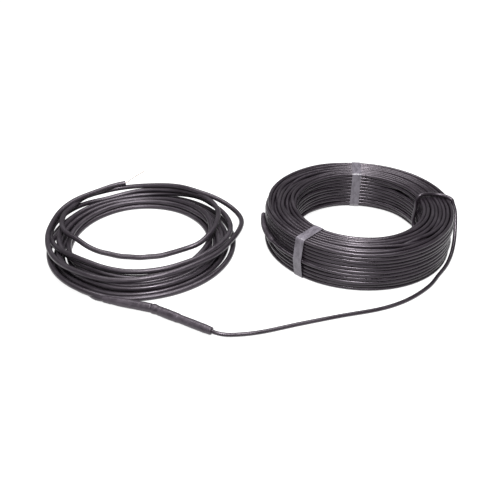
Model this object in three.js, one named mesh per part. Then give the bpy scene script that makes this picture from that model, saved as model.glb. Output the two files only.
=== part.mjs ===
// Heating cable set, in millimetres, +Z up, as it lies on a floor.
// A tied ring of thin heating cable, its free run, a shrink-sleeved joint and a
// loosely wound cold lead that ends in a cut sheath with one bare wire.
import * as THREE from 'three';

// Room kept between neighbouring solids.
const clearance = 0.3;

// Heating cable and its tied ring, whose axis stands upright at the middle of its bore.
const cableDiameter = 7;
const ringBoreRadius = 119;
const ringTurnsAcross = 8;
const ringTurnsHigh = 11;
const ringLayerPitch = 7.15;
const ringSegments = 36;

// Flat straps around the ring's section, at angles counted from +X.
const strapWidth = 18;
const strapThickness = 0.8;
const strapCorner = 1.6;
const strapAngles = { strap_back: 84, strap_front: 227 };

// Sealed far end of the heating cable, laid along the ring's outer wall.
const endSealDiameter = 10;
const endSealHeight = 42;
const endSealStart = 172;
const endSealStop = 204;

// Cold lead and its coil.
const leadDiameter = 10;
const leadCoilCentre = new THREE.Vector2(-417, -12);
const leadCoilInnerRadius = 124;
const leadCoilOuterRadius = 179;
const leadCoilHeight = 28;
const leadTurnsAcross = 5;
const leadCrownTurns = 5;
const leadCoilSegments = 36;

// Joint: two shrink sleeves that meet at a slight bend, in front of the lead's coil.
const jointReach = 43.7;
const jointAngle = -77.1;
const cableSleeve = { length: 116, heading: -30, rimRadius: 8.7, rimLength: 7, rimStep: 3, bodyRadius: 8.2,
  stepAt: 50, step: 4, neckRadius: 7.4, mouthLength: 12, mouthRadius: 6.4 };
const leadSleeve = { length: 88, heading: 163.6, bodyRadius: 8, taperAt: 60, neckRadius: 6.9,
  mouthLength: 8, mouthRadius: 6.1 };
const sleeveSides = 16;
const sleeveBendRelief = 1.2;
const sleeveMouthGap = 0.75;

// Bare conductor at the lead's cut end.
const wireDiameter = 1.2;

// How the crests of neighbouring turns are cut: flats of this share of the strand's
// radius each way, and grooves that stop at this share of it above the line of centres.
const crestShare = 0.4;
const grooveShare = 0.35;

const black = new THREE.MeshStandardMaterial({ color: 0x2b282d, roughness: 0.45, metalness: 0 });
const sleeveBlack = new THREE.MeshStandardMaterial({ color: 0x343136, roughness: 0.5, metalness: 0 });
const strapGrey = new THREE.MeshStandardMaterial({ color: 0x6f6c74, roughness: 0.35, metalness: 0 });
const wireTin = new THREE.MeshStandardMaterial({ color: 0xd8b9a0, roughness: 0.35, metalness: 0.9 });

const ringBottom = strapThickness + clearance;
const jointBend = new THREE.Vector2(leadCoilOuterRadius + jointReach, 0)
  .rotateAround(new THREE.Vector2(), THREE.MathUtils.degToRad(jointAngle)).add(leadCoilCentre);
const heatingCable = new THREE.Group();

function add(name, geometry, material) {
  const mesh = new THREE.Mesh(geometry, material);
  mesh.name = name;
  heatingCable.add(mesh);
  return mesh;
}

// The closed section of a wound bundle, counter-clockwise in radius and height.
// Each strand of its outside gives a flat crest, and each pair of neighbours a groove.
function bundleOutline(strands, radius) {
  const outline = [];
  const count = strands.length;
  for (let i = 0; i < count; i += 1) {
    const before = strands[(i + count - 1) % count];
    const here = strands[i];
    const after = strands[(i + 1) % count];
    const along = after.clone().sub(before).normalize();
    const outward = new THREE.Vector2(along.y, -along.x);
    for (const side of [-crestShare, crestShare]) {
      outline.push(here.clone().addScaledVector(outward, radius).addScaledVector(along, side * radius));
    }
    const step = after.clone().sub(here).normalize();
    const groove = here.clone().add(after).multiplyScalar(0.5);
    outline.push(groove.addScaledVector(new THREE.Vector2(step.y, -step.x), grooveShare * radius));
  }
  outline.push(outline[0].clone());
  return outline;
}

function turned(outline, segments) {
  return new THREE.LatheGeometry(outline, segments).rotateX(Math.PI / 2);
}

function furthest(outline, pick) {
  return Math.max(...outline.map(pick));
}

// Strand centres around the tied ring's section.
function ringStrands() {
  const radius = cableDiameter / 2;
  const across = (i) => ringBoreRadius + radius + i * cableDiameter;
  const up = (i) => ringBottom + radius + i * ringLayerPitch;
  const lastAcross = ringTurnsAcross - 1;
  const lastUp = ringTurnsHigh - 1;
  const strands = [];
  for (let i = 0; i <= lastAcross; i += 1) {
    strands.push(new THREE.Vector2(across(i), up(0)));
  }
  for (let i = 1; i <= lastUp; i += 1) {
    strands.push(new THREE.Vector2(across(lastAcross), up(i)));
  }
  for (let i = lastAcross - 1; i >= 0; i -= 1) {
    strands.push(new THREE.Vector2(across(i), up(lastUp)));
  }
  for (let i = lastUp - 1; i > 0; i -= 1) {
    strands.push(new THREE.Vector2(across(0), up(i)));
  }
  return strands;
}

// Strand centres around the cold lead's heap: a flat bottom row under a rounded crown.
function leadStrands() {
  const radius = leadDiameter / 2;
  const middle = (leadCoilInnerRadius + leadCoilOuterRadius) / 2;
  const reach = (leadCoilOuterRadius - leadCoilInnerRadius) / 2 - radius;
  const rise = leadCoilHeight - leadDiameter;
  const strands = [];
  for (let i = 0; i < leadTurnsAcross; i += 1) {
    const share = (2 * i) / (leadTurnsAcross - 1) - 1;
    strands.push(new THREE.Vector2(middle + share * reach, radius));
  }
  for (let i = 1; i <= leadCrownTurns; i += 1) {
    const turn = (i * Math.PI) / (leadCrownTurns + 1);
    const across = Math.sign(Math.cos(turn)) * Math.abs(Math.cos(turn)) ** 0.7;
    strands.push(new THREE.Vector2(middle + across * reach, radius + rise * Math.sin(turn) ** 0.6));
  }
  return strands;
}

// A rectangle with rounded corners.
function roundedRectangle(Outline, left, bottom, right, top, corner) {
  const path = new Outline();
  path.moveTo(left + corner, bottom);
  path.lineTo(right - corner, bottom);
  path.absarc(right - corner, bottom + corner, corner, -Math.PI / 2, 0, false);
  path.lineTo(right, top - corner);
  path.absarc(right - corner, top - corner, corner, 0, Math.PI / 2, false);
  path.lineTo(left + corner, top);
  path.absarc(left + corner, top - corner, corner, Math.PI / 2, Math.PI, false);
  path.lineTo(left, bottom + corner);
  path.absarc(left + corner, bottom + corner, corner, Math.PI, 1.5 * Math.PI, false);
  return path;
}

// One strap: a closed flat band around the ring's section, straight across its width,
// so it stands off the curved bore by what the bore bulges over that width.
function strapBand(outline) {
  const outer = furthest(outline, (p) => p.x) + clearance;
  const top = furthest(outline, (p) => p.y) + clearance;
  const boreFlat = -furthest(outline, (p) => -p.x) * Math.cos(Math.PI / ringSegments);
  const bulge = boreFlat - Math.sqrt(boreFlat ** 2 - (strapWidth / 2) ** 2);
  const inner = boreFlat - bulge - clearance;
  const bottom = ringBottom - clearance;
  const t = strapThickness;
  const band = roundedRectangle(THREE.Shape, inner - t, bottom - t, outer + t, top + t, strapCorner + t);
  band.holes.push(roundedRectangle(THREE.Path, inner, bottom, outer, top, strapCorner));
  const extent = { depth: strapWidth, bevelEnabled: false, curveSegments: 4 };
  return new THREE.ExtrudeGeometry(band, extent).translate(0, 0, -strapWidth / 2).rotateX(Math.PI / 2);
}

// A plain round tube along a route of points.
function tube(points, diameter, sides, stepLength) {
  const route = new THREE.CatmullRomCurve3(points.map((p) => new THREE.Vector3(...p)), false, 'centripetal');
  const section = new THREE.Shape();
  for (let i = 0; i < sides; i += 1) {
    const turn = (2 * Math.PI * i) / sides;
    const point = [(diameter / 2) * Math.cos(turn), (diameter / 2) * Math.sin(turn)];
    if (i === 0) {
      section.moveTo(...point);
    } else {
      section.lineTo(...point);
    }
  }
  section.closePath();
  const steps = Math.max(3, Math.round(route.getLength() / stepLength));
  return new THREE.ExtrudeGeometry(section, { extrudePath: route, steps, bevelEnabled: false });
}

// A turned sleeve that starts at the joint's bend and lies on the floor along its heading.
function laidSleeve(profile, sleeve) {
  const points = profile.map(([radius, along]) => new THREE.Vector2(radius, along));
  const geometry = new THREE.LatheGeometry(points, sleeveSides);
  geometry.translate(0, sleeveBendRelief, 0).rotateZ(THREE.MathUtils.degToRad(sleeve.heading) - Math.PI / 2);
  return geometry.translate(jointBend.x, jointBend.y, cableSleeve.rimRadius);
}

// A point past a sleeve's mouth, counted along its heading and to the left of it.
function offSleeve(sleeve, along, aside, height) {
  const turn = THREE.MathUtils.degToRad(sleeve.heading);
  const reach = sleeveBendRelief + sleeve.length + along;
  return [
    jointBend.x + reach * Math.cos(turn) - aside * Math.sin(turn),
    jointBend.y + reach * Math.sin(turn) + aside * Math.cos(turn),
    height,
  ];
}

// A point around the lead's coil, by its angle and its reach past the coil's outer radius.
function aroundLead([angle, reach], height) {
  const turn = THREE.MathUtils.degToRad(angle);
  const radius = leadCoilOuterRadius + reach;
  return [leadCoilCentre.x + radius * Math.cos(turn), leadCoilCentre.y + radius * Math.sin(turn), height];
}

// The same for a strand that lies on the heap, with its lift over one that lies on the crown.
function onCrown([angle, reach, lift]) {
  return aroundLead([angle, reach], leadCoilHeight + leadDiameter / 2 + lift);
}

const ringOutline = bundleOutline(ringStrands(), cableDiameter / 2);
add('heating_coil', turned(ringOutline, ringSegments), black);

for (const [name, angle] of Object.entries(strapAngles)) {
  const strap = add(name, strapBand(ringOutline), strapGrey);
  strap.rotation.z = THREE.MathUtils.degToRad(angle);
}

// The end seal follows the outer wall at a constant height.
const sealRadius = furthest(ringOutline, (p) => p.x) + clearance + endSealDiameter / 2;
const sealPoints = [];
for (let angle = endSealStart; angle <= endSealStop; angle += 4) {
  const turn = THREE.MathUtils.degToRad(angle);
  sealPoints.push([sealRadius * Math.cos(turn), sealRadius * Math.sin(turn), endSealHeight]);
}
add('end_seal', tube(sealPoints, endSealDiameter, 10, endSealDiameter), black);

// The inner end of the heating cable: it leaves the bore's wall near the floor, climbs
// it, crosses the ring's top, goes down beside the outer wall and runs along the floor
// into the joint's mouth.
const tailRoute = [
  [109.1, -35.4, 3.9], [113, -19.9, 4.4], [114.5, -7, 7], [114.6, 5, 12.5], [113.8, 14, 20.5],
  [113.1, 19.1, 30.5], [112.9, 20.3, 40], [113.2, 18.7, 50], [113.3, 17.2, 60], [112.6, 16.6, 69.5],
  [113.5, 17, 78.5], [118, 18.5, 84.8], [126.5, 21, 86.3], [138, 24.3, 85.2], [149.5, 25.1, 84],
  [159.5, 22.4, 83.8], [168, 16.6, 83.8], [173.4, 11, 83.2], [177.4, 7.6, 80.8], [179.4, 5, 75.2],
  [182.4, -2, 66.5], [183.2, -11, 56], [181.8, -24, 42.5], [178, -43, 26], [171.5, -62, 13],
  [163, -79.5, 6.2], [150.4, -101.5, 4], [131.5, -128, 3.7], [110, -158, 3.7], [77, -189, 3.7],
  [47, -209, 3.7], [11, -225, 3.7], [-58, -243.5, 3.7], [-125, -263.5, 3.7], [-189, -284, 3.8],
  offSleeve(cableSleeve, 40, 20, 4.4), offSleeve(cableSleeve, 20, 5.4, 6.4),
  offSleeve(cableSleeve, 7.6, 0.6, 8.2), offSleeve(cableSleeve, sleeveMouthGap, 0, 8.6),
];
add('heating_cable_tail', tube(tailRoute, cableDiameter, 8, 1.8 * cableDiameter), black);

const cableSleeveProfile = [
  [0, 0], [cableSleeve.rimRadius, 0], [cableSleeve.rimRadius, cableSleeve.rimLength],
  [cableSleeve.bodyRadius, cableSleeve.rimLength + cableSleeve.rimStep],
  [cableSleeve.bodyRadius, cableSleeve.stepAt],
  [cableSleeve.neckRadius, cableSleeve.stepAt + cableSleeve.step],
  [cableSleeve.neckRadius, cableSleeve.length - cableSleeve.mouthLength],
  [cableSleeve.mouthRadius, cableSleeve.length], [0, cableSleeve.length],
];
add('joint_sleeve_cable_side', laidSleeve(cableSleeveProfile, cableSleeve), sleeveBlack);

const leadSleeveProfile = [
  [0, 0], [leadSleeve.bodyRadius, 0], [leadSleeve.bodyRadius, leadSleeve.taperAt],
  [leadSleeve.neckRadius, leadSleeve.length - leadSleeve.mouthLength],
  [leadSleeve.mouthRadius, leadSleeve.length], [0, leadSleeve.length],
];
add('joint_sleeve_lead_side', laidSleeve(leadSleeveProfile, leadSleeve), sleeveBlack);

add('cold_lead_coil', turned(bundleOutline(leadStrands(), leadDiameter / 2), leadCoilSegments), black)
  .position.set(leadCoilCentre.x, leadCoilCentre.y, 0);

// The lead between the joint and the outer wall of its coil.
const leadMouth = offSleeve(leadSleeve, 0, 0, 0);
const mouthAngle = THREE.MathUtils.radToDeg(
  Math.atan2(leadMouth[1] - leadCoilCentre.y, leadMouth[0] - leadCoilCentre.x));
const wallReach = leadDiameter / 2 + clearance;
const entryRoute = [
  offSleeve(leadSleeve, sleeveMouthGap, 0, 8.6), offSleeve(leadSleeve, 6.5, -0.5, 7.8),
  offSleeve(leadSleeve, 15.2, -2.8, 6.2), aroundLead([mouthAngle - 6.9, wallReach + 3.7], 5.4),
  aroundLead([mouthAngle - 9.3, wallReach], 5.2),
];
add('cold_lead_entry', tube(entryRoute, leadDiameter, 10, leadDiameter), black);

// The last turn: from the back of the heap out over its right side and back onto it.
const outerLoopRoute = [
  [112, 0.5, -7], [98, -6, -4], [87, -11, -1.2], [71, -12, -0.8], [58, -14, 0], [50, -10, -0.5],
  [42, 2, -3], [31, 15, -8], [21, 22, -13], [13, 23, -15], [2, 10, -13.5], [-12, -1, -7],
  [-24, -4, -5.5], [-33, -7, -3], [-43, -11, -0.9],
].map((point) => onCrown(point));
add('cold_lead_outer_loop', tube(outerLoopRoute, leadDiameter, 10, 2 * leadDiameter), black);

// The narrow turn before it, which sags into the bore at the front.
const innerLoopRoute = [
  [39, -11, 0], [24, -17, 0], [6, -32, 0], [-8, -41, -0.2], [-23, -51, -2.4], [-32, -71, -13],
  [-44, -90, -20], [-68, -107, -23], [-98, -111, -23], [-127, -101, -20], [-149, -79, -14],
  [-166, -60, -4], [-174, -38, 0.4], [-188, -25, 0.8], [-200, -14.5, -0.6], [-208, -13, -0.6],
].map((point) => onCrown(point));
add('cold_lead_inner_loop', tube(innerLoopRoute, leadDiameter, 10, 2 * leadDiameter), black);

// The end of the last turn, which rises off the heap at the back.
const endRoute = [
  [176, -8, -2.5], [160, -2.5, -2], [145, -3, -1], [135, -4.5, 0], [125, -3, 1], [116, 1, 3], [107, 1.5, 5],
].map((point) => onCrown(point));
add('cold_lead_end', tube(endRoute, leadDiameter, 10, 2 * leadDiameter), black);

// The wire, counted from the middle of the lead's cut end.
const cutEnd = endRoute[endRoute.length - 1];
const wireRoute = [
  [0.6, 0.3, 0.1], [4, 4, 0.8], [10, 13, 2], [18, 25, 3.2], [27, 37, 4.2], [35, 47, 5],
].map((point) => point.map((value, i) => value + cutEnd[i]));
add('bare_wire', tube(wireRoute, wireDiameter, 8, 5), wireTin);

// The origin is under the middle of the whole set.
const whole = new THREE.Box3().setFromObject(heatingCable, true);
const middle = whole.getCenter(new THREE.Vector3());
heatingCable.position.set(-middle.x, -middle.y, -whole.min.z);

export default heatingCable;
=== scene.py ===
"""Looks of a heating cable set: a tied ring of thin cable, its free run, a shrink-sleeved
joint and a loosely wound cold lead that ends in one bare wire.

Lengths are in metres. Angles around the two coils are in degrees, counted from +X.
"""
import logging
import math
from dataclasses import dataclass, field
from enum import Enum

import bmesh
import bpy
import numpy as np
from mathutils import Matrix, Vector

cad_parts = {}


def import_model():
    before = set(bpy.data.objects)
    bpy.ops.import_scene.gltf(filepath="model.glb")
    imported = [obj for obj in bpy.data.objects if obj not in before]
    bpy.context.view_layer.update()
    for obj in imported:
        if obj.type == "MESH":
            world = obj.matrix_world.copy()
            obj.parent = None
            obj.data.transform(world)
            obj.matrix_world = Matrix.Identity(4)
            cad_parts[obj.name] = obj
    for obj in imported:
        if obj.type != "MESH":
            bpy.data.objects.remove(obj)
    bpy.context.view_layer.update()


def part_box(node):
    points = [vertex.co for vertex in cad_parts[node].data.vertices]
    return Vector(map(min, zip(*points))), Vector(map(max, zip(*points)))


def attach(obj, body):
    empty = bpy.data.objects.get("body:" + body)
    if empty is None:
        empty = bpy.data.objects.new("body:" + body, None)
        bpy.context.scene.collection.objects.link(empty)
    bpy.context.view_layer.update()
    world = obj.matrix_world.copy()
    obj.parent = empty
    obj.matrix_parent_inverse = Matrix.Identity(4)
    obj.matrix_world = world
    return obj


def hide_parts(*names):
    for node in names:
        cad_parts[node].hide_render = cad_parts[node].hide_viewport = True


NodeSocket = bpy.types.NodeSocket
Triple = tuple[float, float, float]

MM = 0.001
BODY = "root"
CLEARANCE = 0.3 * MM

log = logging.getLogger("heating_cable")


class Socket(Enum):
    """Names of the inputs that a sweep's node tree has."""

    DIAMETER = "Diameter"
    SIDES = "Sides"
    FINISH = "Finish"


class Track(Enum):
    """Names of the point attributes that a swept piece uses."""

    GIRTH = "girth"
    RUN = "run"
    AROUND = "around"
    SHEATH = "sheath"


def polar(centre: np.ndarray, angle: float, radius: float, height: float) -> np.ndarray:
    """Place a point by its angle and radius around a centre.

    Args:
        centre: x and y of the middle, in metres.
        angle: Degrees from +X.
        radius: Distance from the middle, in metres.
        height: Height over the floor, in metres.

    Returns:
        The point's x, y and z.
    """
    turn = math.radians(angle)
    return np.array([centre[0] + radius * math.cos(turn), centre[1] + radius * math.sin(turn), height])


def smooth_step(share: np.ndarray) -> np.ndarray:
    """Ease a share from 0 to 1 with level ends.

    Args:
        share: Values that may lie outside 0 to 1.

    Returns:
        The eased values.
    """
    held = np.clip(share, 0.0, 1.0)
    return held * held * (3.0 - 2.0 * held)


def even_spline(points: np.ndarray, step: float) -> np.ndarray:
    """Lay a centripetal spline through points and sample it evenly.

    Args:
        points: The route's own points, one row each.
        step: Distance between samples, in metres.

    Returns:
        The samples, from the first point to the last.
    """
    ends = np.vstack([2 * points[0] - points[1], points, 2 * points[-1] - points[-2]])
    knots = np.concatenate([[0.0], np.cumsum(np.sqrt(np.linalg.norm(np.diff(ends, axis=0), axis=1)))])
    dense = []
    for i in range(1, len(ends) - 2):
        t = np.linspace(knots[i], knots[i + 1], 24, endpoint=False)[:, None]
        a = [
            (knots[i + j] - t) / (knots[i + j] - knots[i + j - 1]) * ends[i + j - 1]
            + (t - knots[i + j - 1]) / (knots[i + j] - knots[i + j - 1]) * ends[i + j]
            for j in range(3)
        ]
        b = [
            (knots[i + 1 + j] - t) / (knots[i + 1 + j] - knots[i - 1 + j]) * a[j]
            + (t - knots[i - 1 + j]) / (knots[i + 1 + j] - knots[i - 1 + j]) * a[j + 1]
            for j in range(2)
        ]
        span = knots[i + 1] - knots[i]
        dense.append((knots[i + 1] - t) / span * b[0] + (t - knots[i]) / span * b[1])
    dense.append(points[-1:])
    return even_samples(np.vstack(dense), step)


def even_samples(line: np.ndarray, step: float) -> np.ndarray:
    """Sample a dense line of points at even distances.

    Args:
        line: Dense points along the line.
        step: Distance between samples, in metres.

    Returns:
        The samples, with both ends kept.
    """
    run = np.concatenate([[0.0], np.cumsum(np.linalg.norm(np.diff(line, axis=0), axis=1))])
    count = max(2, int(round(run[-1] / step)) + 1)
    at = np.linspace(0.0, run[-1], count)
    return np.stack([np.interp(at, run, line[:, axis]) for axis in range(3)], axis=1)


def line_length(line: np.ndarray) -> float:
    """Return the length of a line of points, in metres."""
    return float(np.linalg.norm(np.diff(line, axis=0), axis=1).sum())


class ShaderTree:
    """A material with its nodes, built step by step."""

    def __init__(self, name: str) -> None:
        """Start an empty material with a principled shader.

        Args:
            name: The material's name.
        """
        self.material = bpy.data.materials.new(name)
        self.material.use_nodes = True
        self.nodes = self.material.node_tree.nodes
        self.links = self.material.node_tree.links
        self.nodes.clear()
        self.output = self.nodes.new("ShaderNodeOutputMaterial")
        self.shader = self.nodes.new("ShaderNodeBsdfPrincipled")
        self.links.new(self.shader.outputs["BSDF"], self.output.inputs["Surface"])

    def sheath_space(self, scale: Triple) -> NodeSocket:
        """Read the swept piece's own length and girth, scaled for a pattern.

        Args:
            scale: Scale along the piece and across it, twice.

        Returns:
            The scaled vector.
        """
        attribute = self.nodes.new("ShaderNodeAttribute")
        attribute.attribute_name = Track.SHEATH.value
        return self.scaled(attribute.outputs["Vector"], scale)

    def scaled(self, vector: NodeSocket, scale: Triple) -> NodeSocket:
        """Scale a vector with a mapping node.

        Args:
            vector: The vector to scale.
            scale: The three factors.

        Returns:
            The scaled vector.
        """
        mapping = self.nodes.new("ShaderNodeMapping")
        mapping.inputs["Scale"].default_value = scale
        self.links.new(vector, mapping.inputs["Vector"])
        return mapping.outputs["Vector"]

    def noise(self, vector: NodeSocket, scale: float, detail: float = 3.0) -> NodeSocket:
        """Add a noise pattern.

        Args:
            vector: Where the noise is read.
            scale: Cells per metre of the vector's space.
            detail: How many finer layers it has.

        Returns:
            The noise's value, from 0 to 1.
        """
        noise = self.nodes.new("ShaderNodeTexNoise")
        noise.inputs["Scale"].default_value = scale
        noise.inputs["Detail"].default_value = detail
        self.links.new(vector, noise.inputs["Vector"])
        return noise.outputs["Fac"]

    def mapped(self, value: NodeSocket, low: float, high: float, start: float, stop: float) -> NodeSocket:
        """Map a value's middle range to another range.

        Args:
            value: The value to map.
            low: Value that gives start.
            high: Value that gives stop.
            start: Result at low.
            stop: Result at high.

        Returns:
            The mapped value, held between start and stop.
        """
        node = self.nodes.new("ShaderNodeMapRange")
        for name, number in zip(("From Min", "From Max", "To Min", "To Max"), (low, high, start, stop)):
            node.inputs[name].default_value = number
        self.links.new(value, node.inputs["Value"])
        return node.outputs["Result"]

    def blend(self, share: NodeSocket, first: tuple, second: tuple) -> NodeSocket:
        """Blend two colours by a share.

        Args:
            share: 0 for the first colour, 1 for the second.
            first: Colour at 0, without alpha.
            second: Colour at 1, without alpha.

        Returns:
            The blended colour.
        """
        ramp = self.nodes.new("ShaderNodeValToRGB")
        ramp.color_ramp.elements[0].color = (*first, 1.0)
        ramp.color_ramp.elements[1].color = (*second, 1.0)
        self.links.new(share, ramp.inputs["Fac"])
        return ramp.outputs["Color"]

    def bump(
        self, height: NodeSocket, distance: float, strength: float, under: NodeSocket | None = None
    ) -> NodeSocket:
        """Add a bump layer.

        Args:
            height: The relief's height, from 0 to 1.
            distance: Height of the relief, in metres.
            strength: Share of it that shows.
            under: The layer below it, if any.

        Returns:
            The bumped normal.
        """
        node = self.nodes.new("ShaderNodeBump")
        node.inputs["Distance"].default_value = distance
        node.inputs["Strength"].default_value = strength
        self.links.new(height, node.inputs["Height"])
        if under is not None:
            self.links.new(under, node.inputs["Normal"])
        return node.outputs["Normal"]


@dataclass(frozen=True)
class SheathFinish:
    """Extruded black sheath: lengthwise draw marks, a fine grain and rubbed places."""

    name: str
    dark: Triple
    rubbed: Triple
    gloss: tuple[float, float] = (0.24, 0.38)
    tint: Triple = (1.0, 0.9, 1.0)
    mark_depth: float = 0.07 * MM
    specular: float = 0.5

    def material(self) -> bpy.types.Material:
        """Build the sheath's material.

        Returns:
            The finished material.
        """
        tree = ShaderTree(self.name)
        marks = tree.noise(tree.sheath_space((0.05, 1.0, 1.0)), 1500.0, 4.0)
        grain = tree.noise(tree.sheath_space((1.0, 1.0, 1.0)), 1900.0, 2.0)
        patches = tree.noise(tree.sheath_space((0.35, 1.0, 1.0)), 90.0, 5.0)
        waves = tree.noise(tree.sheath_space((1.0, 0.2, 0.2)), 24.0, 3.0)
        colour = tree.blend(tree.mapped(patches, 0.42, 0.72, 0.0, 1.0), self.dark, self.rubbed)
        tree.links.new(colour, tree.shader.inputs["Base Color"])
        gloss = tree.mapped(patches, 0.3, 0.7, *self.gloss)
        tree.links.new(gloss, tree.shader.inputs["Roughness"])
        normal = tree.bump(waves, 0.5 * MM, 0.2)
        normal = tree.bump(marks, self.mark_depth, 0.5, normal)
        normal = tree.bump(grain, 0.02 * MM, 0.3, normal)
        tree.links.new(normal, tree.shader.inputs["Normal"])
        tree.shader.inputs["Specular IOR Level"].default_value = self.specular
        tree.shader.inputs["Specular Tint"].default_value = (*self.tint, 1.0)
        return tree.material


@dataclass(frozen=True)
class SleeveFinish:
    """Shrunk sleeve: satin black with soft rings and a pebbled skin."""

    name: str = "shrunk_sleeve"
    dark: Triple = (0.015, 0.012, 0.0155)
    pale: Triple = (0.034, 0.028, 0.035)
    tint: Triple = (1.0, 0.9, 1.0)

    def material(self) -> bpy.types.Material:
        """Build the sleeve's material.

        Returns:
            The finished material.
        """
        tree = ShaderTree(self.name)
        rings = tree.noise(tree.sheath_space((1.0, 0.18, 0.18)), 240.0, 4.0)
        skin = tree.noise(tree.sheath_space((1.0, 1.0, 1.0)), 1100.0, 3.0)
        patches = tree.noise(tree.sheath_space((1.0, 1.0, 1.0)), 110.0, 4.0)
        colour = tree.blend(tree.mapped(patches, 0.35, 0.7, 0.0, 1.0), self.dark, self.pale)
        tree.links.new(colour, tree.shader.inputs["Base Color"])
        tree.links.new(tree.mapped(patches, 0.3, 0.7, 0.34, 0.5), tree.shader.inputs["Roughness"])
        tree.shader.inputs["Specular Tint"].default_value = (*self.tint, 1.0)
        normal = tree.bump(rings, 0.35 * MM, 0.5)
        normal = tree.bump(skin, 0.06 * MM, 0.5, normal)
        tree.links.new(normal, tree.shader.inputs["Normal"])
        return tree.material


@dataclass(frozen=True)
class StrapFinish:
    """Flat plastic strap: grey, drawn lengthwise, with a soft shine."""

    name: str = "strap_plastic"
    deep: Triple = (0.062, 0.055, 0.067)
    pale: Triple = (0.13, 0.118, 0.14)

    def material(self) -> bpy.types.Material:
        """Build the strap's material, with fine ribs along the strap.

        Returns:
            The finished material.
        """
        tree = ShaderTree(self.name)
        ribs = tree.noise(tree.sheath_space((0.02, 1.0, 1.0)), 1400.0, 2.0)
        cloud = tree.noise(tree.sheath_space((0.5, 1.0, 1.0)), 120.0, 4.0)
        colour = tree.blend(tree.mapped(cloud, 0.3, 0.7, 0.0, 1.0), self.deep, self.pale)
        tree.links.new(colour, tree.shader.inputs["Base Color"])
        tree.links.new(tree.mapped(cloud, 0.3, 0.7, 0.22, 0.36), tree.shader.inputs["Roughness"])
        normal = tree.bump(ribs, 0.1 * MM, 0.6)
        normal = tree.bump(cloud, 0.4 * MM, 0.3, normal)
        tree.links.new(normal, tree.shader.inputs["Normal"])
        return tree.material


@dataclass(frozen=True)
class WireFinish:
    """Bright bare conductor with drawing lines."""

    name: str = "bare_copper"
    bright: Triple = (0.3, 0.17, 0.1)
    dull: Triple = (0.2, 0.11, 0.06)

    def material(self) -> bpy.types.Material:
        """Build the wire's material.

        Returns:
            The finished material.
        """
        tree = ShaderTree(self.name)
        lines = tree.noise(tree.sheath_space((0.05, 1.0, 1.0)), 6000.0, 2.0)
        tint = tree.noise(tree.sheath_space((1.0, 1.0, 1.0)), 260.0, 3.0)
        tree.links.new(tree.blend(tint, self.bright, self.dull), tree.shader.inputs["Base Color"])
        tree.shader.inputs["Metallic"].default_value = 1.0
        tree.links.new(tree.mapped(lines, 0.3, 0.7, 0.28, 0.42), tree.shader.inputs["Roughness"])
        tree.links.new(tree.bump(lines, 0.02 * MM, 0.5), tree.shader.inputs["Normal"])
        return tree.material


@dataclass(frozen=True)
class FloorFinish:
    """Plain white floor."""

    name: str = "white_floor"
    colour: Triple = (0.24, 0.24, 0.24)
    glow: float = 0.9

    def material(self) -> bpy.types.Material:
        """Build the floor's material.

        Returns:
            The finished material.
        """
        tree = ShaderTree(self.name)
        tree.shader.inputs["Base Color"].default_value = (*self.colour, 1.0)
        tree.shader.inputs["Roughness"].default_value = 0.8
        tree.shader.inputs["Emission Color"].default_value = (1.0, 1.0, 1.0, 1.0)
        tree.shader.inputs["Emission Strength"].default_value = self.glow
        tree.shader.inputs["Specular IOR Level"].default_value = 0.2
        return tree.material


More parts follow.
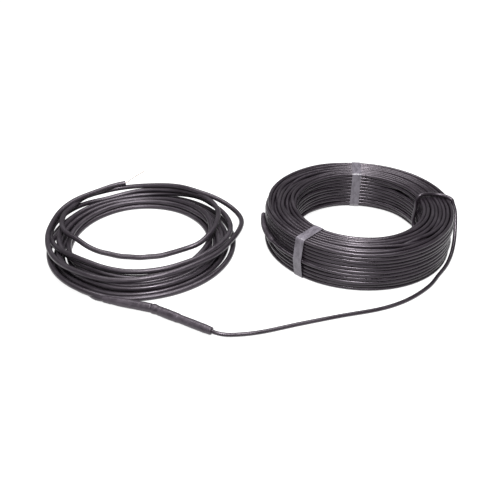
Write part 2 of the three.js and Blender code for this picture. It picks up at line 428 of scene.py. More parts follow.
class SweepTree:
    """A Geometry Nodes tree that sweeps a round section along a line of edges."""

    def __init__(self) -> None:
        """Build the tree once for all swept pieces."""
        self.group = bpy.data.node_groups.new("sweep_round_section", "GeometryNodeTree")
        face = self.group.interface
        face.new_socket("Geometry", in_out="INPUT", socket_type="NodeSocketGeometry")
        face.new_socket(Socket.DIAMETER.value, in_out="INPUT", socket_type="NodeSocketFloat")
        face.new_socket(Socket.SIDES.value, in_out="INPUT", socket_type="NodeSocketInt")
        face.new_socket(Socket.FINISH.value, in_out="INPUT", socket_type="NodeSocketMaterial")
        face.new_socket("Geometry", in_out="OUTPUT", socket_type="NodeSocketGeometry")
        self.identifiers = {item.name: item.identifier for item in face.items_tree if item.in_out == "INPUT"}
        self.entry = self.group.nodes.new("NodeGroupInput")
        self.exit = self.group.nodes.new("NodeGroupOutput")
        self._wire()

    def _node(self, kind: str, **settings: object) -> bpy.types.Node:
        """Add a node and set its plain properties.

        Args:
            kind: The node's type name.
            **settings: Properties to set on it.

        Returns:
            The new node.
        """
        node = self.group.nodes.new(kind)
        for name, value in settings.items():
            setattr(node, name, value)
        return node

    def _wire(self) -> None:
        """Connect the tree: line, section, sweep, own coordinates and finish."""
        link = self.group.links.new
        line = self._node("GeometryNodeMeshToCurve")
        link(self.entry.outputs["Geometry"], line.inputs["Mesh"])
        girth = self._node("GeometryNodeInputNamedAttribute", data_type="FLOAT")
        girth.inputs["Name"].default_value = Track.GIRTH.value
        half = self._node("ShaderNodeMath", operation="MULTIPLY")
        half.inputs[1].default_value = 0.5
        link(self.entry.outputs[Socket.DIAMETER.value], half.inputs[0])
        reach = self._node("ShaderNodeMath", operation="MULTIPLY")
        link(girth.outputs["Attribute"], reach.inputs[0])
        link(half.outputs[0], reach.inputs[1])
        sized = self._node("GeometryNodeSetCurveRadius")
        link(line.outputs["Curve"], sized.inputs["Curve"])
        link(reach.outputs[0], sized.inputs["Radius"])
        run = self._node("GeometryNodeSplineParameter")
        tracked = self._node("GeometryNodeStoreNamedAttribute", data_type="FLOAT", domain="POINT")
        tracked.inputs["Name"].default_value = Track.RUN.value
        link(sized.outputs["Curve"], tracked.inputs["Geometry"])
        link(run.outputs["Length"], tracked.inputs["Value"])
        section = self._node("GeometryNodeCurvePrimitiveCircle")
        section.inputs["Radius"].default_value = 1.0
        link(self.entry.outputs[Socket.SIDES.value], section.inputs["Resolution"])
        around = self._node("GeometryNodeSplineParameter")
        turned = self._node("GeometryNodeStoreNamedAttribute", data_type="FLOAT", domain="POINT")
        turned.inputs["Name"].default_value = Track.AROUND.value
        link(section.outputs["Curve"], turned.inputs["Geometry"])
        link(around.outputs["Factor"], turned.inputs["Value"])
        sweep = self._node("GeometryNodeCurveToMesh")
        sweep.inputs["Fill Caps"].default_value = True
        link(tracked.outputs["Geometry"], sweep.inputs["Curve"])
        link(turned.outputs["Geometry"], sweep.inputs["Profile Curve"])
        if "Scale" in sweep.inputs:
            link(reach.outputs[0], sweep.inputs["Scale"])
        placed = self._own_coordinates(sweep.outputs["Mesh"], half.outputs[0])
        smooth = self._node("GeometryNodeSetShadeSmooth")
        link(placed, smooth.inputs["Geometry"])
        real = self._node("GeometryNodeRealizeInstances")
        link(smooth.outputs["Geometry"], real.inputs["Geometry"])
        finish = self._node("GeometryNodeSetMaterial")
        link(real.outputs["Geometry"], finish.inputs["Geometry"])
        link(self.entry.outputs[Socket.FINISH.value], finish.inputs["Material"])
        link(finish.outputs["Geometry"], self.exit.inputs["Geometry"])

    def _own_coordinates(self, mesh: NodeSocket, radius: NodeSocket) -> NodeSocket:
        """Store the distance along a piece and the place around it as one vector.

        Args:
            mesh: The swept mesh.
            radius: Half the piece's diameter.

        Returns:
            The mesh with the vector on its points.
        """
        link = self.group.links.new
        run = self._node("GeometryNodeInputNamedAttribute", data_type="FLOAT")
        run.inputs["Name"].default_value = Track.RUN.value
        around = self._node("GeometryNodeInputNamedAttribute", data_type="FLOAT")
        around.inputs["Name"].default_value = Track.AROUND.value
        angle = self._node("ShaderNodeMath", operation="MULTIPLY")
        angle.inputs[1].default_value = 2 * math.pi
        link(around.outputs["Attribute"], angle.inputs[0])
        vector = self._node("ShaderNodeCombineXYZ")
        link(run.outputs["Attribute"], vector.inputs[0])
        for axis, operation in ((1, "COSINE"), (2, "SINE")):
            share = self._node("ShaderNodeMath", operation=operation)
            link(angle.outputs[0], share.inputs[0])
            reach = self._node("ShaderNodeMath", operation="MULTIPLY")
            link(share.outputs[0], reach.inputs[0])
            link(radius, reach.inputs[1])
            link(reach.outputs[0], vector.inputs[axis])
        store = self._node("GeometryNodeStoreNamedAttribute", data_type="FLOAT_VECTOR", domain="POINT")
        store.inputs["Name"].default_value = Track.SHEATH.value
        link(mesh, store.inputs["Geometry"])
        link(vector.outputs["Vector"], store.inputs["Value"])
        return store.outputs["Geometry"]

    def sweep(
        self,
        name: str,
        lines: list[np.ndarray],
        diameter: float,
        sides: int,
        material: bpy.types.Material,
        girths: list[np.ndarray] | None = None,
    ) -> bpy.types.Object:
        """Sweep a round section along one or more lines and return a plain mesh object.

        Args:
            name: The piece's name.
            lines: Ring centres of each run.
            diameter: The section's full width.
            sides: Sides of the section.
            material: The piece's finish.
            girths: Share of the diameter at each ring, or None for an even piece.

        Returns:
            The finished object, at the origin.
        """
        mesh = bpy.data.meshes.new(name)
        edges = []
        start = 0
        for line in lines:
            edges += [(start + i, start + i + 1) for i in range(len(line) - 1)]
            start += len(line)
        mesh.from_pydata(np.vstack(lines).tolist(), edges, [])
        share = mesh.attributes.new(Track.GIRTH.value, "FLOAT", "POINT")
        shares = np.concatenate(girths) if girths else np.ones(start)
        share.data.foreach_set("value", shares.astype(np.float32))
        piece = bpy.data.objects.new(name, mesh)
        bpy.context.scene.collection.objects.link(piece)
        modifier = piece.modifiers.new("sweep", "NODES")
        modifier.node_group = self.group
        modifier[self.identifiers[Socket.DIAMETER.value]] = diameter
        modifier[self.identifiers[Socket.SIDES.value]] = sides
        modifier[self.identifiers[Socket.FINISH.value]] = material
        evaluated = piece.evaluated_get(bpy.context.evaluated_depsgraph_get())
        swept = bpy.data.meshes.new_from_object(evaluated)
        piece.modifiers.remove(modifier)
        piece.data = swept
        return piece


@dataclass
class TiedRing:
    """The heating cable wound in a tied ring, from the bore's wall out to the end seal."""

    centre: np.ndarray
    diameter: float = 7 * MM
    bore_radius: float = 119 * MM
    turns_across: int = 8
    turns_high: int = 11
    paired_rows: int = 4
    layer_pitch: float = 7.15 * MM
    bottom: float = 1.1 * MM
    steps: int = 80
    sides: int = 10
    start_angle: float = -18.0
    start_radius: float = 114.7 * MM
    start_height: float = 3.9 * MM
    crossing_angle: float = 172.0
    crossing_width: float = 46.0
    crossing_spread: float = 24.0
    strap_angles: tuple[float, float] = (84.0, 227.0)
    looseness: float = 1.9 * MM
    inward_share: float = 0.8
    unevenness: float = 2.5 * MM
    wander_gaps: Triple = (0.11, 0.19, 0.34)
    wander_spread: float = 0.55
    rounds: int = 110
    quick_rounds: int = 40
    push_share: float = 0.3
    pull_share: float = 0.02
    lead_in_angle: float = 48.0
    strap_grip: float = 6.0
    strap_release: float = 26.0
    seal_radius: float = 180.3 * MM
    seal_height: float = 42 * MM
    seal_mouth: float = 204.0
    lift_off: float = 262.0
    seed: int = 11
    path: np.ndarray = field(default_factory=lambda: np.empty((0, 3)))
    section: np.ndarray = field(default_factory=lambda: np.empty((0, 2)))

    def places(self) -> list[tuple[int, int]]:
        """List the winding's places as column and row, from the first turn to the last.

        Returns:
            Columns wound up and down in turn, and the two outer ones together, so that
            the cable ends half-way up the outer wall.
        """
        order = []
        top = self.turns_high - 1
        for column in range(self.turns_across - 2):
            rows = range(self.turns_high) if column % 2 == 0 else range(top, -1, -1)
            order += [(column, row) for row in rows]
        inner = self.turns_across - 2
        outer = self.turns_across - 1
        for row in range(self.paired_rows):
            pair = [(inner, row), (outer, row)]
            order += pair if row % 2 == 0 else pair[::-1]
        order += [(inner, row) for row in range(self.paired_rows, top + 1)]
        order += [(outer, row) for row in range(top, self.paired_rows - 1, -1)]
        return order

    def slack(self, angles: np.ndarray) -> np.ndarray:
        """Tell how loose the ring is at each angle: tight at the straps, loose between them.

        Args:
            angles: Degrees around the ring.

        Returns:
            A share from 0 to 1 for each angle.
        """
        share = np.ones_like(angles)
        for strap in self.strap_angles:
            away = np.abs((angles - strap + 180.0) % 360.0 - 180.0)
            share *= smooth_step((away - self.strap_grip) / self.strap_release)
        return share

    def wander(self, rng: np.random.Generator, count: int) -> np.ndarray:
        """Draw a slow seeded wander along the whole winding.

        Args:
            rng: The source of random numbers.
            count: How many samples the winding has.

        Returns:
            Radial and upward shares, about -1 to 1.
        """
        wander = np.zeros((count, 2))
        at = np.arange(count) / self.steps
        for gap in self.wander_gaps:
            knots = np.arange(0.0, at[-1] + 2 * gap, gap)
            for axis in range(2):
                wander[:, axis] += np.interp(at, knots, rng.normal(0.0, self.wander_spread, len(knots)))
        kernel = np.hanning(9)
        kernel /= kernel.sum()
        for axis in range(2):
            wander[:, axis] = np.convolve(wander[:, axis], kernel, mode="same")
        return wander

    def wind(self) -> None:
        """Wind the cable: stepped turns, pushed apart where they would share room."""
        rng = np.random.default_rng(self.seed)
        places = self.places()
        turns = len(places)
        count = turns * self.steps
        swing = np.arange(count) * 360.0 / self.steps
        angles = (self.start_angle - swing) % 360.0
        first_crossing = (self.start_angle - self.crossing_angle) % 360.0
        jitter = rng.uniform(-self.crossing_spread, self.crossing_spread, turns - 1)
        columns = np.array([column for column, _ in places], float)
        rows = np.array([row for _, row in places], float)
        goal = np.zeros((count, 2))
        goal[:, 0] = columns[0]
        goal[:, 1] = rows[0]
        for i in range(turns - 1):
            middle = first_crossing + 360.0 * i + jitter[i]
            share = smooth_step((swing - middle) / self.crossing_width + 0.5)
            goal[:, 0] += share * (columns[i + 1] - columns[i])
            goal[:, 1] += share * (rows[i + 1] - rows[i])
        half = self.diameter / 2
        goal[:, 0] = self.bore_radius + half + goal[:, 0] * self.diameter
        goal[:, 1] = self.bottom + half + goal[:, 1] * self.layer_pitch
        slack = self.slack(angles)
        spread = self.unevenness * slack[:, None] * self.wander(rng, count)
        spots = self.settle(goal + spread, slack)
        last_swing = (self.start_angle - self.seal_mouth) % 360.0
        end = int(round(last_swing / 360.0 * self.steps)) + (turns - 1) * self.steps
        spots = spots[: end + 1]
        swing = swing[: end + 1]
        self.lead_in(spots, swing)
        self.lead_out(spots, swing)
        turn = np.radians(self.start_angle - swing)
        self.section = spots
        x = self.centre[0] + spots[:, 0] * np.cos(turn)
        y = self.centre[1] + spots[:, 0] * np.sin(turn)
        self.path = np.stack([x, y, spots[:, 1]], axis=1)

    def settle(self, spots: np.ndarray, slack: np.ndarray) -> np.ndarray:
        """Push touching turns apart, hold them in the ring's section and smooth them.

        Args:
            spots: Radius and height of each sample along the winding.
            slack: Looseness of each sample, from 0 to 1.

        Returns:
            The settled radii and heights.
        """
        goal = spots.copy()
        half = self.diameter / 2
        width = self.turns_across * self.diameter
        height = (self.turns_high - 1) * self.layer_pitch + self.diameter
        loose = self.looseness * slack
        inner_wall = self.bore_radius + half - self.inward_share * loose
        outer_wall = self.bore_radius + width - half + loose
        low = np.stack([inner_wall, np.full_like(slack, self.bottom + half)], axis=1)
        high = np.stack([outer_wall, self.bottom + height - half + loose], axis=1)
        turns = len(spots) // self.steps
        rounds = self.rounds
        for _ in range(rounds):
            blocks = spots.reshape(turns, self.steps, 2).transpose(1, 0, 2)
            gaps = blocks[:, :, None, :] - blocks[:, None, :, :]
            apart = np.sqrt((gaps**2).sum(axis=-1)) + np.eye(turns)[None] + 1e-9
            push = np.clip(self.diameter - apart, 0.0, None) / apart
            moved = (gaps * push[..., None]).sum(axis=2) * self.push_share
            spots = spots + moved.transpose(1, 0, 2).reshape(-1, 2)
            spots[1:-1] = 0.7 * spots[1:-1] + 0.15 * (spots[:-2] + spots[2:])
            spots += self.pull_share * (goal - spots)
            spots = np.clip(spots, low, high)
        return spots

    def lead_in(self, spots: np.ndarray, swing: np.ndarray) -> None:
        """Ease the winding's first stretch from the bore's wall into its first place.

        Args:
            spots: Radius and height of each sample, changed in place.
            swing: Degrees wound at each sample.
        """
        share = smooth_step(swing / self.lead_in_angle)
        start = np.array([self.start_radius, self.start_height])
        spots[:] = start + (spots - start) * share[:, None]

    def lead_out(self, spots: np.ndarray, swing: np.ndarray) -> None:
        """Ease the last stretch from the outer column onto the outer wall, into the seal.

        Args:
            spots: Radius and height of each sample, changed in place.
            swing: Degrees wound at each sample.
        """
        length = self.lift_off - self.seal_mouth
        share = smooth_step((swing - (swing[-1] - length)) / length)
        finish = np.array([self.seal_radius, self.seal_height])
        spots[:] = spots + (finish - spots) * share[:, None]

    def at_angle(self, angle: float) -> np.ndarray:
        """Give radius and height of every turn at one angle.

        Args:
            angle: Degrees around the ring.

        Returns:
            One row for each turn there.
        """
        offset = ((self.start_angle - angle) % 360.0) / 360.0 * self.steps
        found = []
        while offset < len(self.section) - 1:
            low = int(offset)
            share = offset - low
            found.append((1 - share) * self.section[low] + share * self.section[low + 1])
            offset += self.steps
        return np.array(found)

    def build(self, tree: SweepTree, material: bpy.types.Material) -> bpy.types.Object:
        """Make the ring's mesh.

        Args:
            tree: The sweep's node tree.
            material: The sheath's finish.

        Returns:
            The ring's object.
        """
        self.wind()
        ring = tree.sweep("heating_cable_ring", [self.path], self.diameter, self.sides, material)
        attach(ring, BODY)
        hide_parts("heating_coil")
        log.info("ring: %.1f m of cable in %.1f turns", line_length(self.path), len(self.path) / self.steps)
        return ring


@dataclass
class Strap:
    """A flat strap pulled tight around the ring's section."""

    ring: TiedRing
    angle: float
    node: str
    width: float = 18 * MM
    thickness: float = 0.8 * MM
    crown: float = 0.12 * MM
    edge_points: int = 9
    circle_points: int = 28
    loop_step: float = 1.6 * MM

    def hull(self) -> np.ndarray:
        """Trace the tight outline around all turns at the strap's angle.

        Returns:
            Radius and height of the outline's points, counter-clockwise.
        """
        turn = np.linspace(0.0, 2 * math.pi, self.circle_points, endpoint=False)
        circle = np.stack([np.cos(turn), np.sin(turn)], axis=1) * (self.ring.diameter / 2 + CLEARANCE)
        cloud = (self.ring.at_angle(self.angle)[:, None, :] + circle[None]).reshape(-1, 2)
        cloud = cloud[np.lexsort((cloud[:, 1], cloud[:, 0]))]
        chains = []
        for points in (cloud, cloud[::-1]):
            chain: list[np.ndarray] = []
            for point in points:
                while len(chain) > 1 and self.bends_right(chain[-2], chain[-1], point):
                    chain.pop()
                chain.append(point)
            chains += chain[:-1]
        return np.array(chains)

    @staticmethod
    def bends_right(first: np.ndarray, middle: np.ndarray, last: np.ndarray) -> bool:
        """Tell whether the way through three points doesn't turn left."""
        one, two = middle - first, last - middle
        return bool(one[0] * two[1] - one[1] * two[0] <= 0)

    def build(self, material: bpy.types.Material) -> bpy.types.Object:
        """Make the strap's closed band.

        Args:
            material: The strap's finish.

        Returns:
            The strap's object.
        """
        hull = self.hull()
        loop = np.vstack([hull, hull[:1]])
        loop = even_samples(np.column_stack([loop, np.zeros(len(loop))]), self.loop_step)[:-1, :2]
        along = np.roll(loop, -1, axis=0) - np.roll(loop, 1, axis=0)
        along /= np.linalg.norm(along, axis=1)[:, None]
        outward = np.stack([along[:, 1], -along[:, 0]], axis=1)
        across = np.linspace(-0.5, 0.5, self.edge_points)
        outer = [(s * self.width, self.thickness - self.crown * 4 * s * s) for s in across]
        inner = [(s * self.width, 0.0) for s in across[::-1]]
        section = outer + inner
        turn = math.radians(self.angle)
        radial = np.array([math.cos(turn), math.sin(turn)])
        tangent = np.array([-math.sin(turn), math.cos(turn)])
        points = []
        tracks = []
        run = 0.0
        for i, spot in enumerate(loop):
            for aside, out in section:
                place = spot + outward[i] * out
                flat = self.ring.centre + radial * place[0] + tangent * aside
                points.append((flat[0], flat[1], place[1]))
                tracks.append((run, aside, out))
            run += float(np.linalg.norm(loop[(i + 1) % len(loop)] - spot))
        rings, sides = len(loop), len(section)
        faces = []
        for i in range(rings):
            here, ahead = i * sides, ((i + 1) % rings) * sides
            for j in range(sides):
                beside = (j + 1) % sides
                faces.append((here + j, ahead + j, ahead + beside, here + beside))
        mesh = bpy.data.meshes.new(self.node)
        mesh.from_pydata(points, [], faces)
        track = mesh.attributes.new(Track.SHEATH.value, "FLOAT_VECTOR", "POINT")
        track.data.foreach_set("vector", np.array(tracks, np.float32).ravel())
        mesh.materials.append(material)
        mesh.shade_smooth()
        mesh.set_sharp_from_angle(angle=math.radians(40))
        band = bpy.data.objects.new(self.node + "_band", mesh)
        bpy.context.scene.collection.objects.link(band)
        turn_outwards(band)
        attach(band, BODY)
        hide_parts(self.node)
        log.info("strap %s: %d faces", self.node, len(faces))
        return band


def turn_outwards(piece: bpy.types.Object) -> None:
    """Recalculate a closed mesh's normals so that they point outwards.

    Args:
        piece: The object whose mesh is changed.
    """
    shell = bmesh.new()
    shell.from_mesh(piece.data)
    bmesh.ops.recalc_face_normals(shell, faces=shell.faces)
    shell.to_mesh(piece.data)
    shell.free()


@dataclass
class EndSeal:
    """The sealed end of the heating cable, laid along the ring's outer wall."""

    ring: TiedRing
    diameter: float = 10 * MM
    tip_angle: float = 172.0

    def build(self, tree: SweepTree, material: bpy.types.Material) -> bpy.types.Object:
        """Make the seal's mesh: a short mouth, an even body and a rounded tip.

        Args:
            tree: The sweep's node tree.
            material: The sleeve's finish.

        Returns:
            The seal's object.
        """
        ring = self.ring
        angles = np.linspace(ring.seal_mouth + 1.0, self.tip_angle, 60)
        line = np.array([polar(ring.centre, a, ring.seal_radius, ring.seal_height) for a in angles])
        share = np.linspace(0.0, 1.0, len(line))
        mouth = 0.76 + 0.24 * smooth_step(share / 0.09)
        tip = np.sqrt(np.clip(1.0 - np.clip((share - 0.955) / 0.045, 0.0, 1.0) ** 2, 0.02, 1.0))
        neck = 1.0 - 0.07 * smooth_step((share - 0.62) / 0.08)
        seal = tree.sweep("end_seal_sleeve", [line], self.diameter, 20, material, [mouth * tip * neck])
        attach(seal, BODY)
        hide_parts("end_seal")
        log.info("end seal: %.0f mm long", line_length(line) / MM)
        return seal


@dataclass
class Joint:
    """Two shrunk sleeves that meet at a slight bend in front of the lead's coil."""

    lead_centre: np.ndarray
    coil_radius: float = 179 * MM
    reach: float = 43.7 * MM
    angle: float = -77.1
    height: float = 8.7 * MM
    relief: float = 1.2 * MM
    cable_heading: float = -30.0
    cable_length: float = 116 * MM
    lead_heading: float = 163.6
    lead_length: float = 88 * MM
    ring_step: float = 0.6
    wrinkle_gap: float = 4.0
    wrinkle_depth: float = 0.1
    sides: int = 40
    seed: int = 5

    @property
    def bend(self) -> np.ndarray:
        """The point where both sleeves meet."""
        return polar(self.lead_centre, self.angle, self.coil_radius + self.reach, self.height)

    def past_mouth(
        self, heading: float, length: float, along: float, aside: float, height: float
    ) -> np.ndarray:
        """Give a point past a sleeve's mouth.

        Args:
            heading: The sleeve's heading, in degrees.
            length: The sleeve's length.
            along: Distance past the mouth, in millimetres.
            aside: Distance to the left of the heading, in millimetres.
            height: Height over the floor, in millimetres.

        Returns:
            The point, in metres.
        """
        turn = math.radians(heading)
        reach = self.relief + length + along * MM
        x = self.bend[0] + reach * math.cos(turn) - aside * MM * math.sin(turn)
        y = self.bend[1] + reach * math.sin(turn) + aside * MM * math.cos(turn)
        return np.array([x, y, height * MM])

    def cable_side(self, along: float, aside: float, height: float) -> np.ndarray:
        """Give a point past the cable's sleeve, in millimetres from its mouth."""
        return self.past_mouth(self.cable_heading, self.cable_length, along, aside, height)

    def lead_side(self, along: float, aside: float, height: float) -> np.ndarray:
        """Give a point past the lead's sleeve, in millimetres from its mouth."""
        return self.past_mouth(self.lead_heading, self.lead_length, along, aside, height)

    def sleeve(
        self,
        tree: SweepTree,
        name: str,
        node: str,
        heading: float,
        profile: list[tuple[float, float]],
        material: bpy.types.Material,
    ) -> bpy.types.Object:
        """Make one sleeve from its profile.

        Args:
            tree: The sweep's node tree.
            name: The piece's name.
            node: The CAD node that it replaces.
            heading: Its heading, in degrees.
            profile: Distance from the bend and radius, in millimetres.
            material: The sleeve's finish.

        Returns:
            The sleeve's object.
        """
        rng = np.random.default_rng(self.seed + len(profile))
        stations = np.array([station for station, _ in profile])
        radii = np.array([radius for _, radius in profile])
        along = np.arange(stations[0], stations[-1] + self.ring_step / 2, self.ring_step)
        width = np.interp(along, stations, radii)
        knots = np.arange(stations[0], stations[-1] + 2 * self.wrinkle_gap, self.wrinkle_gap)
        width = width + np.interp(along, knots, rng.normal(0.0, self.wrinkle_depth, len(knots)))
        kernel = np.hanning(5) / np.hanning(5).sum()
        width[2:-2] = np.convolve(width, kernel, mode="valid")
        turn = math.radians(heading)
        run = self.relief + along * MM
        x = self.bend[0] + run * math.cos(turn)
        y = self.bend[1] + run * math.sin(turn)
        line = np.stack([x, y, np.full_like(run, self.height)], axis=1)
        widest = radii.max()
        piece = tree.sweep(name, [line], 2 * widest * MM, self.sides, material, [width / widest])
        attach(piece, BODY)
        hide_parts(node)
        log.info("%s: %.0f mm long", name, run[-1] / MM)
        return piece

    def build(self, tree: SweepTree, material: bpy.types.Material) -> list[bpy.types.Object]:
        """Make both sleeves.

        Args:
            tree: The sweep's node tree.
            material: The sleeves' finish.

        Returns:
            The two sleeves.
        """
        cable = [
            (-1.0, 6.5), (-0.6, 7.9), (0.6, 8.6), (3.5, 8.7), (6.0, 8.6), (7.2, 8.35), (10.0, 8.1),
            (30.0, 8.2), (48.0, 8.1), (50.5, 7.9), (52.5, 7.45), (56.0, 7.3), (80.0, 7.45),
            (102.0, 7.3), (110.0, 6.9), (114.6, 6.4), (115.6, 6.1), (116.0, 4.2),
        ]
        lead = [
            (-1.0, 6.2), (-0.6, 7.4), (0.8, 8.0), (20.0, 7.8), (42.0, 8.0), (58.0, 7.7), (66.0, 7.1),
            (79.0, 6.8), (86.4, 6.1), (87.5, 5.9), (88.0, 5.1),
        ]
        return [
            self.sleeve(tree, name, node, heading, profile, material)
            for name, node, heading, profile in (
                ("joint_cable_sleeve", "joint_sleeve_cable_side", self.cable_heading, cable),
                ("joint_lead_sleeve", "joint_sleeve_lead_side", self.lead_heading, lead),
            )
        ]


@dataclass
class FreeRun:
    """The heating cable between the ring's bore and the joint."""

    ring: TiedRing
    joint: Joint
    sides: int = 14

    def route(self) -> np.ndarray:
        """List the run's own points, counted from the middle of the ring's bore.

        Returns:
            The points in the row frame, in metres.
        """
        points = [
            (109.1, -35.4, 3.9), (113, -19.9, 4.4), (114.5, -7, 7), (114.6, 5, 12.5), (113.8, 14, 20.5),
            (113.1, 19.1, 30.5), (112.9, 20.3, 40), (113.2, 18.7, 50), (113.3, 17.2, 60), (112.6, 16.6, 69.5),
            (113.5, 17, 78.5), (118, 18.5, 84.8), (126.5, 21, 86.3), (138, 24.3, 85.2), (149.5, 25.1, 84),
            (159.5, 22.4, 83.8), (168, 16.6, 83.8), (173.4, 11, 83.2), (177.4, 7.6, 80.8), (179.4, 5, 75.2),
            (182.4, -2, 66.5), (183.2, -11, 56), (181.8, -24, 42.5), (178, -43, 26), (171.5, -62, 13),
            (163, -79.5, 6.2), (150.4, -101.5, 4), (131.5, -128, 3.7), (110, -158, 3.7), (77, -189, 3.7),
            (47, -209, 3.7), (11, -225, 3.7), (-58, -243.5, 3.7), (-125, -263.5, 3.7), (-189, -284, 3.8),
        ]
        middle = np.array([*self.ring.centre, 0.0])
        placed = [middle + np.array(point) * MM for point in points]
        mouth = [(40, 20, 4.4), (20, 5.4, 6.4), (7.6, 0.6, 8.2), (-6, 0, 8.7)]
        return np.array(placed + [self.joint.cable_side(*point) for point in mouth])

    def build(self, tree: SweepTree, material: bpy.types.Material) -> bpy.types.Object:
        """Args:
            tree: The sweep's node tree.
            material: The sheath's finish.

        Returns:
            The run's object.
        """
        line = even_spline(self.route(), 3 * MM)
        cable = tree.sweep("heating_cable_run", [line], self.ring.diameter, self.sides, material)
        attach(cable, BODY)
        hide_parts("heating_cable_tail")
        log.info("free run: %.2f m", line_length(line))
        return cable


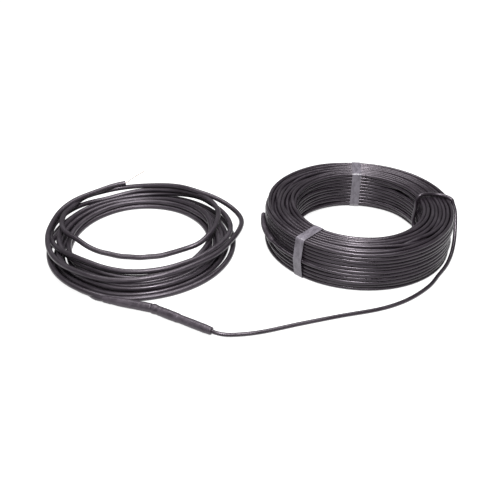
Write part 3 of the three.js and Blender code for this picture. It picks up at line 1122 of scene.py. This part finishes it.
@dataclass
class ColdLead:
    """The cold lead: from the joint into a loosely wound coil, to its cut end."""

    centre: np.ndarray
    joint: Joint
    diameter: float = 10 * MM
    stated_length: float = 10.0
    sides: int = 16
    steps: int = 72
    crown_height: float = 33.0
    outer_radius: float = 179.0
    packed_turns: int = 5
    packed_sway: float = 0.6
    loose_sway: float = 2.4
    key_step: float = 20.0
    seed: int = 23
    back_radii: tuple[float, ...] = (172, 161, 150, 139, 128, 134, 144, 157)
    front_radii: tuple[float, ...] = (188, 176, 165, 154, 143, 169, 133, 141)
    front_angle: float = 283.0
    mouth_angle: float = 259.4
    path: np.ndarray = field(default_factory=lambda: np.empty((0, 3)))

    def keys(self) -> list[Triple]:
        """List the lead's places: degrees wound, radius and least height in millimetres.

        Returns:
            The keys in order, from the coil's outer wall to the cut end.
        """
        rng = np.random.default_rng(self.seed)
        keys = [(9.3, 184.3, 5.2), (24.0, 177.0, 5.0), (52.0, 170.0, 5.0), (80.0, 171.0, 5.0)]
        last = len(self.back_radii) - 1
        for turn, radius in enumerate(self.back_radii):
            sway = rng.uniform(0.0, 360.0, 2)
            loose = self.packed_sway if turn < self.packed_turns else self.loose_sway
            for step in range(int(360 / self.key_step)):
                wound = turn * 360.0 + step * self.key_step
                if wound < 100.0 or wound > 7.0 * 360.0 + 140.0:
                    continue
                following = self.back_radii[min(turn + 1, last)]
                share = float(smooth_step(np.array((step * self.key_step - 290.0) / 70.0)))
                place = radius + (following - radius) * share
                away = abs((self.mouth_angle - wound - self.front_angle + 180.0) % 360.0 - 180.0)
                facing = float(smooth_step(np.array(1.25 - away / 95.0)))
                ahead = self.front_radii[turn if step > 9 else max(turn - 1, 0)]
                place += (ahead - place) * facing
                place += loose * math.sin(math.radians(wound + sway[0]))
                place += 0.6 * loose * math.sin(math.radians(2 * wound + sway[1]))
                keys.append((wound, place, 5.0))
        bulge = [
            (52, 173, 24), (37, 171, 23), (22, 175, 21), (8, 176, 20), (-5, 170, 22), (-15, 163, 24),
            (-28, 154, 24), (-50, 143, 24), (-75, 137, 24), (-100, 134, 24),
        ]
        keys += self.looped(7, bulge)
        heap_top = [
            (238, 136, 24), (218, 145, 22), (200, 158, 18), (182, 171, 17), (165, 177, 19),
            (148, 177, 20), (135, 175, 18), (123, 168, 13), (95, 166, 14), (62, 166, 26),
        ]
        keys += self.looped(8, heap_top)
        inner = [
            (39, -11, 0), (24, -17, 0), (6, -32, 0), (-8, -41, -0.2), (-23, -51, -2.4), (-32, -71, -13),
            (-44, -90, -20), (-68, -107, -23), (-98, -111, -23), (-127, -101, -20), (-149, -79, -14),
            (-166, -60, -4), (-174, -38, 0.4), (-188, -25, 0.8), (-200, -14.5, -0.6), (-208, -13, -0.6),
        ]
        keys += self.crowned(8, inner)
        keys += self.crowned(9, [(135, 6, -7), (125, 4, -6)])
        outer = [
            (112, 1.5, -6), (98, -6, -4), (87, -11, -1.2), (71, -12, -0.8), (58, -14, 0), (50, -10, -0.5),
            (42, 2, -3), (31, 15, -8), (21, 22, -13), (13, 23, -15), (2, 10, -13.5), (-12, -1, -7),
            (-24, -4, -5.5), (-33, -7, -3), (-43, -11, -0.9),
        ]
        keys += self.crowned(9, outer)
        front = [
            (-60, -13, -2), (-80, -12, -3), (-102, -10, -4), (-125, -9, -5), (-145, -9, -5), (-165, -9, -4),
        ]
        keys += self.crowned(9, front)
        end = [
            (176, -8, -2.5), (160, -2.5, -2), (145, -3, -1), (135, -4.5, 0),
            (125, -3, 1), (116, 1, 3), (107, 1.5, 5),
        ]
        keys += self.crowned(10, end)
        return keys

    def wound(self, turn: int, angle: float) -> float:
        """Give the degrees wound at an angle of a turn that starts near the back."""
        return 360.0 * turn + self.mouth_angle - angle

    def looped(self, turn: int, places: list[Triple]) -> list[Triple]:
        """Turn places given by angle, radius and height into keys.

        Args:
            turn: Which turn they are on.
            places: Angle in degrees, radius and height in millimetres.

        Returns:
            The keys.
        """
        return [(self.wound(turn, angle), radius, height) for angle, radius, height in places]

    def crowned(self, turn: int, places: list[Triple]) -> list[Triple]:
        """Turn places counted from the coil's outer radius and crown into keys.

        Args:
            turn: Which turn they are on.
            places: Angle in degrees, reach and lift in millimetres.

        Returns:
            The keys.
        """
        radius, crown = self.outer_radius, self.crown_height
        placed = [(angle, radius + reach, crown + lift) for angle, reach, lift in places]
        return self.looped(turn, placed)

    def lay(self) -> None:
        """Lay the lead turn by turn, each sample on what already lies under it."""
        keys = np.array(sorted(self.keys()))
        step = 360.0 / self.steps
        wound = np.append(np.arange(keys[0, 0], keys[-1, 0] - 0.5 * step, step), keys[-1, 0])
        radius = self.eased(keys[:, 0], keys[:, 1], wound)
        asked = self.eased(keys[:, 0], keys[:, 2], wound)
        height = np.zeros_like(wound)
        thick = self.diameter / MM
        for i in range(len(wound)):
            least = max(asked[i], thick / 2)
            below = np.arange(i - self.steps, -1, -self.steps)
            apart = np.abs(radius[below] - radius[i])
            touching = below[apart < thick]
            if len(touching):
                reach = np.sqrt(thick**2 - (radius[touching] - radius[i]) ** 2)
                least = max(least, float((height[touching] + reach).max()))
            height[i] = least
        kernel = np.hanning(11) / np.hanning(11).sum()
        padded = np.concatenate([np.full(5, height[0]), height, np.full(5, height[-1])])
        height = np.convolve(padded, kernel, mode="valid")
        places = [
            polar(self.centre, self.mouth_angle - swing, reach * MM, lift * MM)
            for swing, reach, lift in zip(wound, radius, height)
        ]
        mouth = [(-6, 0, 8.7), (6.5, -0.5, 7.8), (15.2, -2.8, 6.2)]
        entry = [self.joint.lead_side(*point) for point in mouth]
        between = polar(self.centre, self.mouth_angle - 6.9, 188 * MM, 5.4 * MM)
        self.path = even_spline(np.array(entry + [between] + places), 7 * MM)

    @staticmethod
    def eased(at: np.ndarray, values: np.ndarray, wanted: np.ndarray) -> np.ndarray:
        """Interpolate keys with a smooth curve that doesn't overshoot.

        Args:
            at: The keys' places.
            values: The keys' values.
            wanted: Where values are wanted.

        Returns:
            The interpolated values.
        """
        dense = np.arange(at[0], at[-1] + 1.0, 1.0)
        line = np.interp(dense, at, values)
        kernel = np.hanning(21) / np.hanning(21).sum()
        padded = np.concatenate([np.full(10, line[0]), line, np.full(10, line[-1])])
        return np.interp(wanted, dense, np.convolve(padded, kernel, mode="valid"))

    def build(
        self, tree: SweepTree, material: bpy.types.Material, wire: bpy.types.Object
    ) -> bpy.types.Object:
        """Args:
            tree: The sweep's node tree.
            material: The sheath's finish.
            wire: The bare wire at its end; not used.

        Returns:
            The lead's object.
        """
        lead = tree.sweep("cold_lead", [self.path], self.diameter, self.sides, material)
        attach(lead, BODY)
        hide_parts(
            "cold_lead_entry",
            "cold_lead_coil",
            "cold_lead_outer_loop",
            "cold_lead_inner_loop",
            "cold_lead_end",
        )
        log.info("cold lead: %.2f m", line_length(self.path))
        return lead


@dataclass
class BareWire:
    """The bare conductor that comes out of the lead's cut end."""

    lead: ColdLead
    diameter: float = 1.2 * MM
    ring_step: float = 1.5 * MM
    sides: int = 12

    def build(self, tree: SweepTree, material: bpy.types.Material) -> bpy.types.Object:
        """Make the wire's mesh.

        Args:
            tree: The sweep's node tree.
            material: The conductor's finish.

        Returns:
            The wire's object.
        """
        end = self.lead.path[-1]
        back = self.lead.path[-2] - end
        offsets = [(0.6, 0.3, 0.1), (4, 4, 0.8), (10, 13, 2), (18, 25, 3.2), (27, 37, 4.2), (35, 47, 5)]
        points = [end + 0.8 * back] + [end + np.array(offset) * MM for offset in offsets]
        line = even_spline(np.array(points), self.ring_step)
        wire = tree.sweep("bare_conductor", [line], self.diameter, self.sides, material)
        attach(wire, BODY)
        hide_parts("bare_wire")
        return wire


@dataclass(frozen=True)
class Studio:
    """The floor, the soft lights and the camera."""

    aim: Triple
    elevation: float = 33.4
    focal_pixels: float = 659.0
    pixel_size: float = 1.9 * MM
    frame_pixels: float = 500.0
    sensor: float = 36.0

    def camera(self) -> None:
        """Place the camera at the photograph's viewing angle."""
        data = bpy.data.cameras.new("camera")
        data.sensor_width = self.sensor
        data.lens = self.sensor * self.focal_pixels / self.frame_pixels
        data.clip_start = 0.02
        data.clip_end = 50.0
        camera = bpy.data.objects.new("camera", data)
        rise = math.radians(self.elevation)
        x, y, z = self.aim
        away = self.focal_pixels * self.pixel_size
        camera.location = (x, y - away * math.cos(rise), z + away * math.sin(rise))
        camera.rotation_euler = (math.pi / 2 - rise, 0.0, 0.0)
        bpy.context.scene.collection.objects.link(camera)
        bpy.context.scene.camera = camera

    def softbox(self, name: str, place: Triple, size: tuple[float, float], power: float) -> None:
        """Hang a soft rectangular light that faces the object.

        Args:
            name: The light's name.
            place: Its place, in metres.
            size: Its width and height, in metres.
            power: Its power, in watts.
        """
        data = bpy.data.lights.new(name, "AREA")
        data.shape = "RECTANGLE"
        data.size, data.size_y = size
        data.energy = power
        lamp = bpy.data.objects.new(name, data)
        lamp.location = place
        lamp.rotation_euler = (Vector((0.0, 0.0, 0.03)) - Vector(place)).to_track_quat("-Z", "Y").to_euler()
        bpy.context.scene.collection.objects.link(lamp)

    def build(self) -> None:
        """Make the floor, the lights and the surrounding light."""
        half = 6.0
        mesh = bpy.data.meshes.new("floor")
        corners = [(-half, -half, 0), (half, -half, 0), (half, half, 0), (-half, half, 0)]
        mesh.from_pydata(corners, [], [(0, 1, 2, 3)])
        mesh.materials.append(FloorFinish().material())
        floor = bpy.data.objects.new("floor", mesh)
        bpy.context.scene.collection.objects.link(floor)
        world = bpy.data.worlds.new("studio")
        bpy.context.scene.world = world
        world.use_nodes = True
        background = world.node_tree.nodes["Background"]
        background.inputs["Color"].default_value = (1.0, 1.0, 1.0, 1.0)
        background.inputs["Strength"].default_value = 0.34
        self.softbox("overhead_light", (0.0, 0.5, 1.7), (1.4, 0.7), 32.0)
        self.softbox("front_light", (-0.5, -1.6, 1.3), (1.2, 0.8), 9.0)
        self.softbox("key_light", (0.08, -0.75, 1.55), (0.36, 0.36), 42.0)
        bpy.context.scene.view_settings.view_transform = "Standard"


def middle_of(node: str) -> np.ndarray:
    """Give the x and y of the middle of a CAD node's box."""
    low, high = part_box(node)
    return np.array([(low[0] + high[0]) / 2, (low[1] + high[1]) / 2])


def main() -> None:
    """Build the set around the frame and report each piece."""
    logging.basicConfig(level=logging.INFO, format="%(name)s: %(message)s")
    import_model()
    ring_centre = middle_of("heating_coil")
    lead_centre = middle_of("cold_lead_coil")
    aim = (ring_centre[0] - 205.4 * MM, ring_centre[1] - 41.2 * MM, 0.0)
    studio = Studio(aim=aim)
    studio.camera()
    studio.build()
    tree = SweepTree()
    cable_sheath = SheathFinish(
        name="cable_sheath_black", dark=(0.0085, 0.0062, 0.0088), rubbed=(0.018, 0.0145, 0.0185)
    ).material()
    lead_sheath = SheathFinish(
        name="lead_sheath_black",
        dark=(0.012, 0.0095, 0.0125),
        rubbed=(0.024, 0.0205, 0.025),
        gloss=(0.3, 0.44),
    ).material()
    sleeve = SleeveFinish().material()
    strap = StrapFinish().material()
    wire_metal = WireFinish().material()
    joint = Joint(lead_centre)
    ring = TiedRing(ring_centre)
    FreeRun(ring, joint).build(tree, cable_sheath)
    lead = ColdLead(lead_centre, joint)
    lead.lay()
    wire = BareWire(lead).build(tree, wire_metal)
    lead.build(tree, lead_sheath, wire)
    ring.build(tree, cable_sheath)
    for node, angle in zip(("strap_back", "strap_front"), ring.strap_angles):
        Strap(ring, angle, node).build(strap)
    EndSeal(ring).build(tree, sleeve)
    joint.build(tree, sleeve)


if __name__ == "__main__":
    main()
